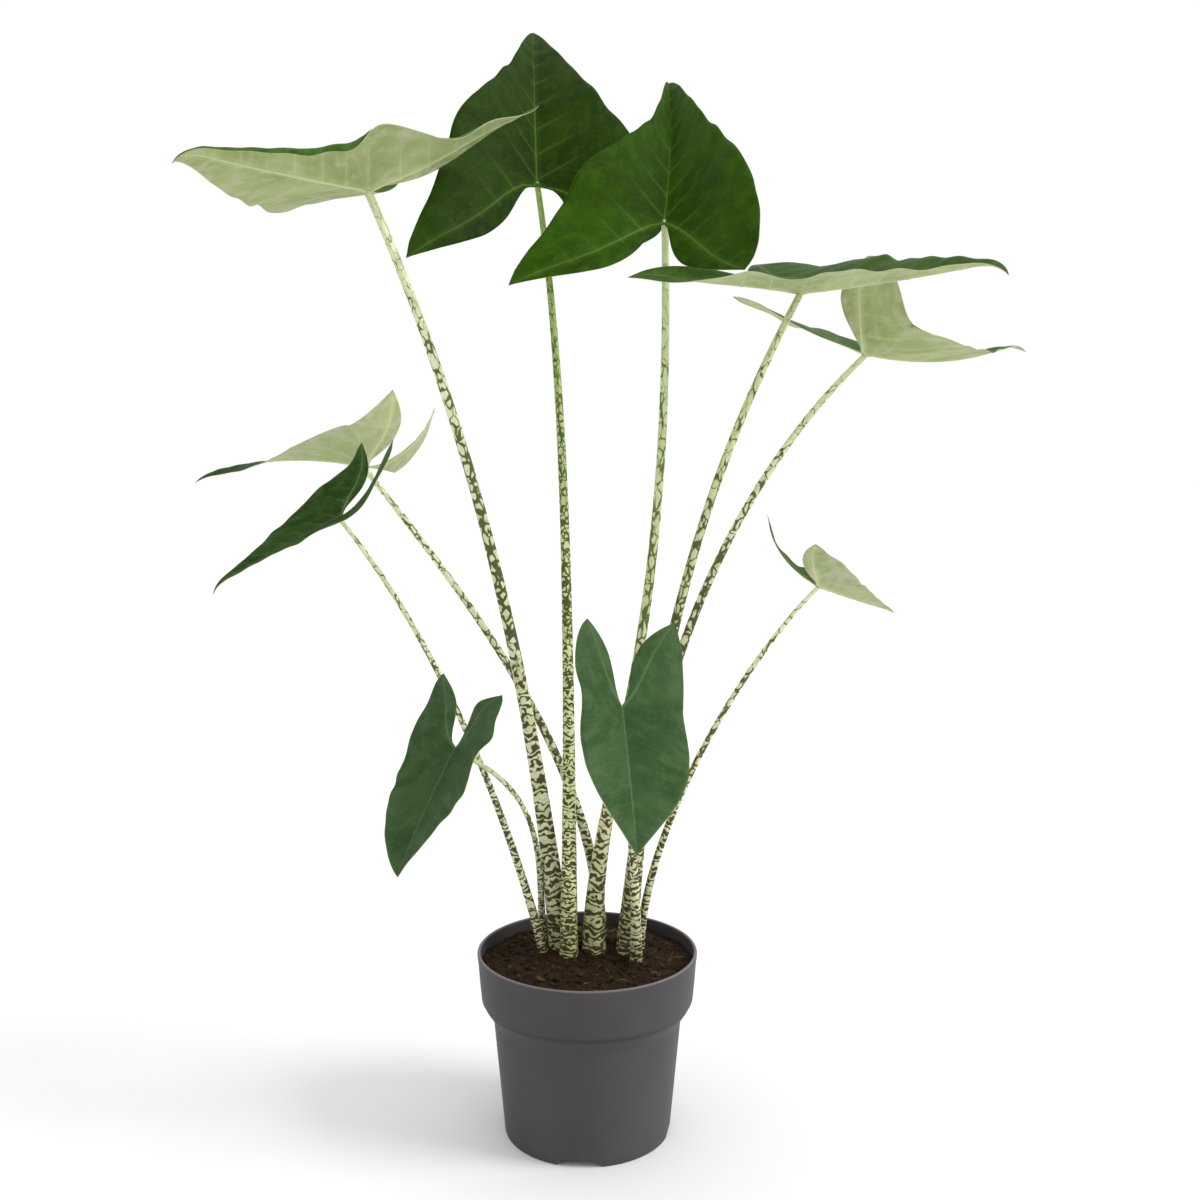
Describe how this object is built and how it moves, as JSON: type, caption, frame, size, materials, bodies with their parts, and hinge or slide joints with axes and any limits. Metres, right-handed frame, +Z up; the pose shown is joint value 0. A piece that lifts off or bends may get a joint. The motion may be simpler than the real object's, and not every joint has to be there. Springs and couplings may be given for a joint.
{
  "type": "potted alocasia zebrina",
  "caption": "Potted aroid house plant with tall zebra-marked leaf stalks and arrow-shaped blades, in a round moulded nursery pot filled with soil.",
  "frame": {"origin": "on the surface the pot stands on, below the middle of the whole plant's box (the pot's axis stands 24 mm to -X and 20 mm to -Y of it)", "axes": "+Z up along the pot's axis; the front of the plant, as seen in the picture, faces -Y"},
  "size_m": [0.7766, 0.415, 0.9955],
  "materials": {
    "pot": "satin",
    "soil": "matte",
    "petiole": "satin",
    "blade": "satin"
  },
  "bodies": {
    "root": {"pot": "pot", "soil": "soil", "petiole_upper_left": "petiole", "petiole_top_middle": "petiole", "petiole_top_right": "petiole", "petiole_upper_right": "petiole", "petiole_middle_right": "petiole", "petiole_small_right": "petiole", "petiole_middle_left_rear": "petiole", "petiole_middle_left_front": "petiole", "petiole_low_left": "petiole", "petiole_low_front": "petiole", "blade_upper_left": "blade", "blade_top_middle": "blade", "blade_top_right": "blade", "blade_upper_right": "blade", "blade_middle_right": "blade", "blade_small_right": "blade", "blade_middle_left_rear": "blade", "blade_middle_left_front": "blade", "blade_low_left": "blade", "blade_low_front": "blade"}
  },
  "joints": []
}
